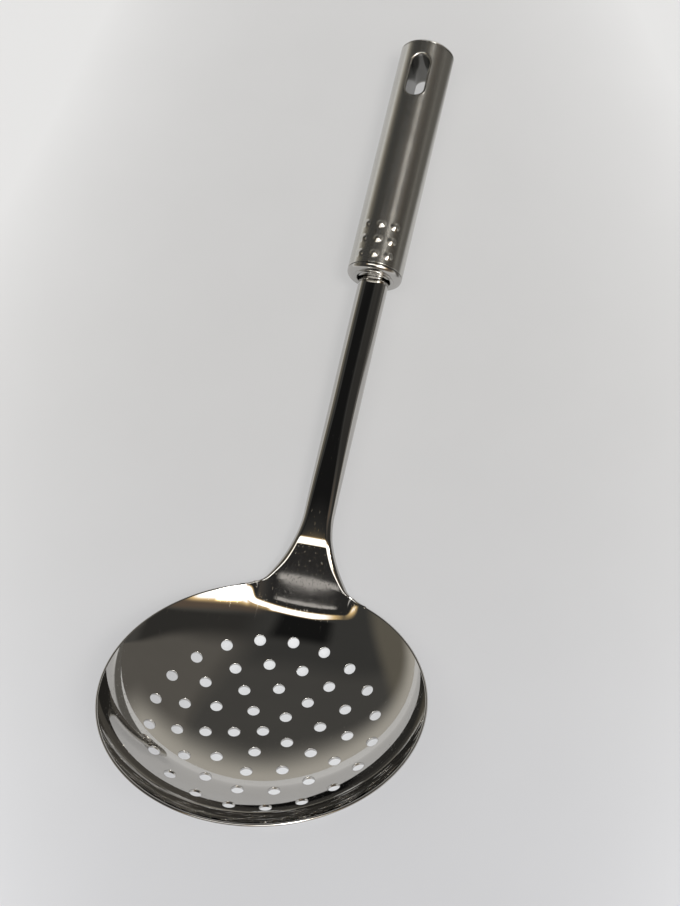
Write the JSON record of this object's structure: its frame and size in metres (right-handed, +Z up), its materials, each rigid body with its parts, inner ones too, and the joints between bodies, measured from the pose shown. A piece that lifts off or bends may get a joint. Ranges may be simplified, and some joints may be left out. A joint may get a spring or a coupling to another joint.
{
  "type": "skimmer",
  "caption": "Round perforated skimmer with a shallow polished steel bowl, a pressed neck running into a channel shank, and a satin tube handle with grip bumps and a hanging slot.",
  "frame": {"origin": "the middle of the skimmer's outline seen from above, on the table plane z = 0 that the skimmer rests on with its bowl's underside and the handle's rear end", "axes": "+X along the skimmer from the bowl towards the handle, +Y across the bowl, +Z up from the table; the part is mirror symmetric about the plane y = 0"},
  "size_m": [0.3098, 0.11, 0.0606],
  "materials": {
    "polished_steel": "mirror-polished stainless steel",
    "satin_steel": "satin, finely brushed along the tube",
    "collar_steel": "polished",
    "cap_steel": "satin",
    "plug_steel": "semi-polished"
  },
  "bodies": {
    "root": {"bowl_and_shank": "polished_steel", "handle_tube": "satin_steel", "front_collar": "collar_steel", "rear_cap": "cap_steel", "tang_plug": "plug_steel"}
  },
  "joints": []
}
